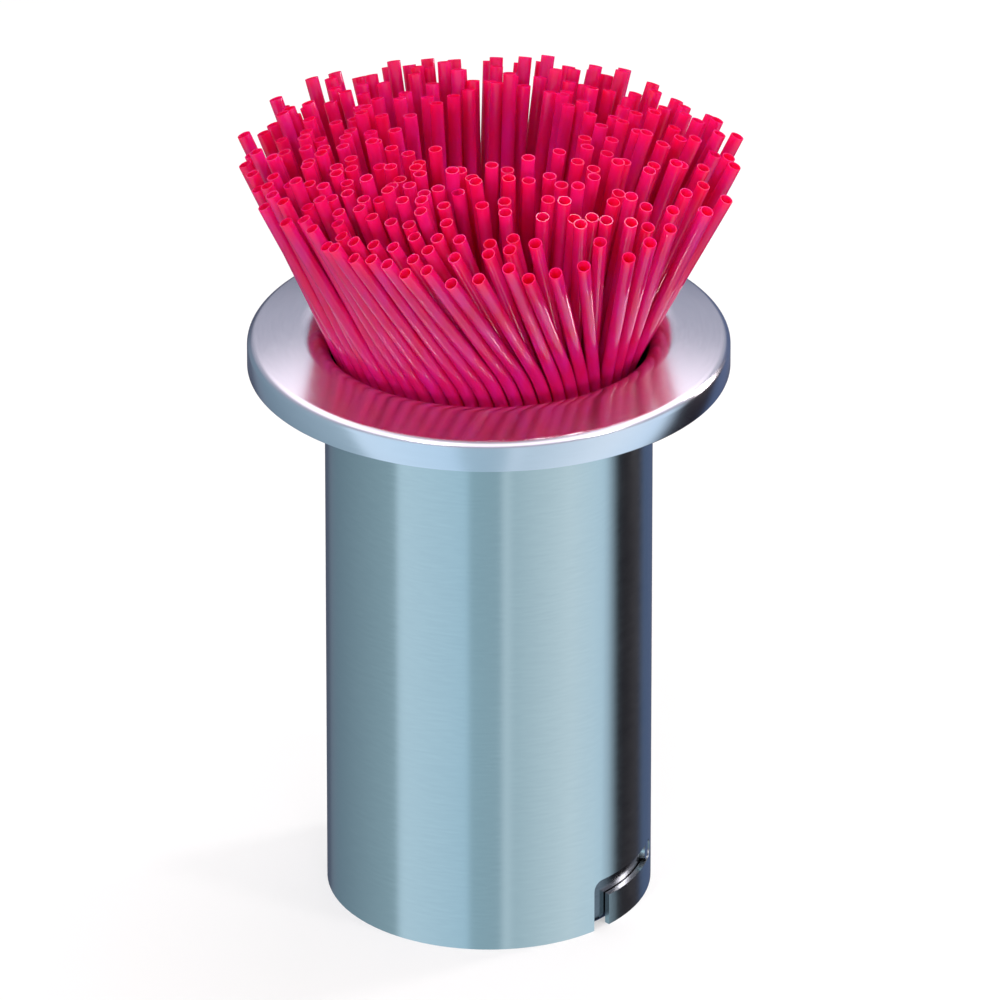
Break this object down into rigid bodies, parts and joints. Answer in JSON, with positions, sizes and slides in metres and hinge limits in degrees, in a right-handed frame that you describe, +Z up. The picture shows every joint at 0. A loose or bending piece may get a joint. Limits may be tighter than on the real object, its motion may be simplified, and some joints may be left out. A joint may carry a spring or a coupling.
{
  "type": "straw holder",
  "caption": "Round stainless steel straw holder with a wide turned-down rim and a twist-off bayonet base, filled with a fanned-out bunch of thin pink straws.",
  "frame": {"origin": "centre of the underside of the base, on the tube's axis", "axes": "+Z up along the tube's axis, +X to the right of someone at the front, +Y away from them"},
  "size_m": [0.1302, 0.1281, 0.2161],
  "materials": {
    "steel": "satin, brushed",
    "base_steel": "pressed, dull",
    "pin_steel": "turned",
    "straw_plastic": "glossy"
  },
  "bodies": {
    "holder": {"tube_shell": "steel", "rim_flange": "steel"},
    "base": {"base_cup": "base_steel", "bayonet_pin_right": "pin_steel", "bayonet_pin_left": "pin_steel"},
    "straw_bunch": {"straws_inner_1": "straw_plastic", "straws_inner_2": "straw_plastic", "straws_inner_3": "straw_plastic", "straws_inner_6": "straw_plastic", "straws_inner_7": "straw_plastic", "straws_inner_8": "straw_plastic", "straws_middle_1": "straw_plastic", "straws_middle_2": "straw_plastic", "straws_middle_3": "straw_plastic", "straws_middle_4": "straw_plastic", "straws_middle_5": "straw_plastic", "straws_middle_6": "straw_plastic", "straws_middle_7": "straw_plastic", "straws_middle_8": "straw_plastic", "straws_outer_1": "straw_plastic", "straws_outer_2": "straw_plastic", "straws_outer_3": "straw_plastic", "straws_outer_4": "straw_plastic", "straws_outer_5": "straw_plastic", "straws_outer_6": "straw_plastic", "straws_outer_7": "straw_plastic", "straws_outer_8": "straw_plastic"},
    "straw_01": {"straw_01": "straw_plastic"},
    "straw_02": {"straw_02": "straw_plastic"},
    "straw_03": {"straw_03": "straw_plastic"},
    "straw_04": {"straw_04": "straw_plastic"},
    "straw_05": {"straw_05": "straw_plastic"},
    "straw_06": {"straw_06": "straw_plastic"},
    "straw_07": {"straw_07": "straw_plastic"},
    "straw_08": {"straw_08": "straw_plastic"},
    "straw_09": {"straw_09": "straw_plastic"},
    "straw_10": {"straw_10": "straw_plastic"},
    "straw_11": {"straw_11": "straw_plastic"},
    "straw_12": {"straw_12": "straw_plastic"},
    "straw_13": {"straw_13": "straw_plastic"},
    "straw_14": {"straw_14": "straw_plastic"},
    "straw_15": {"straw_15": "straw_plastic"}
  },
  "joints": [
    {"name": "base_twist", "type": "hinge", "parent": "holder", "child": "base", "pos_m": [0, 0, 0], "axis": [0, 0, -1], "range_deg": [0, 34]},
    {"name": "bunch_lift", "type": "slide", "parent": "holder", "child": "straw_bunch", "axis": [0, 0, 1], "range_m": [0, 0.17]},
    {"name": "straw_01_draw", "type": "slide", "parent": "straw_bunch", "child": "straw_01", "axis": [0, 0, 1], "range_m": [0, 0.215]},
    {"name": "straw_02_draw", "type": "slide", "parent": "straw_bunch", "child": "straw_02", "axis": [0, 0, 1], "range_m": [0, 0.215]},
    {"name": "straw_03_draw", "type": "slide", "parent": "straw_bunch", "child": "straw_03", "axis": [0, 0, 1], "range_m": [0, 0.215]},
    {"name": "straw_04_draw", "type": "slide", "parent": "straw_bunch", "child": "straw_04", "axis": [0, 0, 1], "range_m": [0, 0.215]},
    {"name": "straw_05_draw", "type": "slide", "parent": "straw_bunch", "child": "straw_05", "axis": [0, 0, 1], "range_m": [0, 0.215]},
    {"name": "straw_06_draw", "type": "slide", "parent": "straw_bunch", "child": "straw_06", "axis": [0, 0, 1], "range_m": [0, 0.215]},
    {"name": "straw_07_draw", "type": "slide", "parent": "straw_bunch", "child": "straw_07", "axis": [0, 0, 1], "range_m": [0, 0.215]},
    {"name": "straw_08_draw", "type": "slide", "parent": "straw_bunch", "child": "straw_08", "axis": [0, 0, 1], "range_m": [0, 0.215]},
    {"name": "straw_09_draw", "type": "slide", "parent": "straw_bunch", "child": "straw_09", "axis": [0, 0, 1], "range_m": [0, 0.215]},
    {"name": "straw_10_draw", "type": "slide", "parent": "straw_bunch", "child": "straw_10", "axis": [0, 0, 1], "range_m": [0, 0.215]},
    {"name": "straw_11_draw", "type": "slide", "parent": "straw_bunch", "child": "straw_11", "axis": [0, 0, 1], "range_m": [0, 0.215]},
    {"name": "straw_12_draw", "type": "slide", "parent": "straw_bunch", "child": "straw_12", "axis": [0, 0, 1], "range_m": [0, 0.215]},
    {"name": "straw_13_draw", "type": "slide", "parent": "straw_bunch", "child": "straw_13", "axis": [0, 0, 1], "range_m": [0, 0.215]},
    {"name": "straw_14_draw", "type": "slide", "parent": "straw_bunch", "child": "straw_14", "axis": [0, 0, 1], "range_m": [0, 0.215]},
    {"name": "straw_15_draw", "type": "slide", "parent": "straw_bunch", "child": "straw_15", "axis": [0, 0, 1], "range_m": [0, 0.215]}
  ]
}
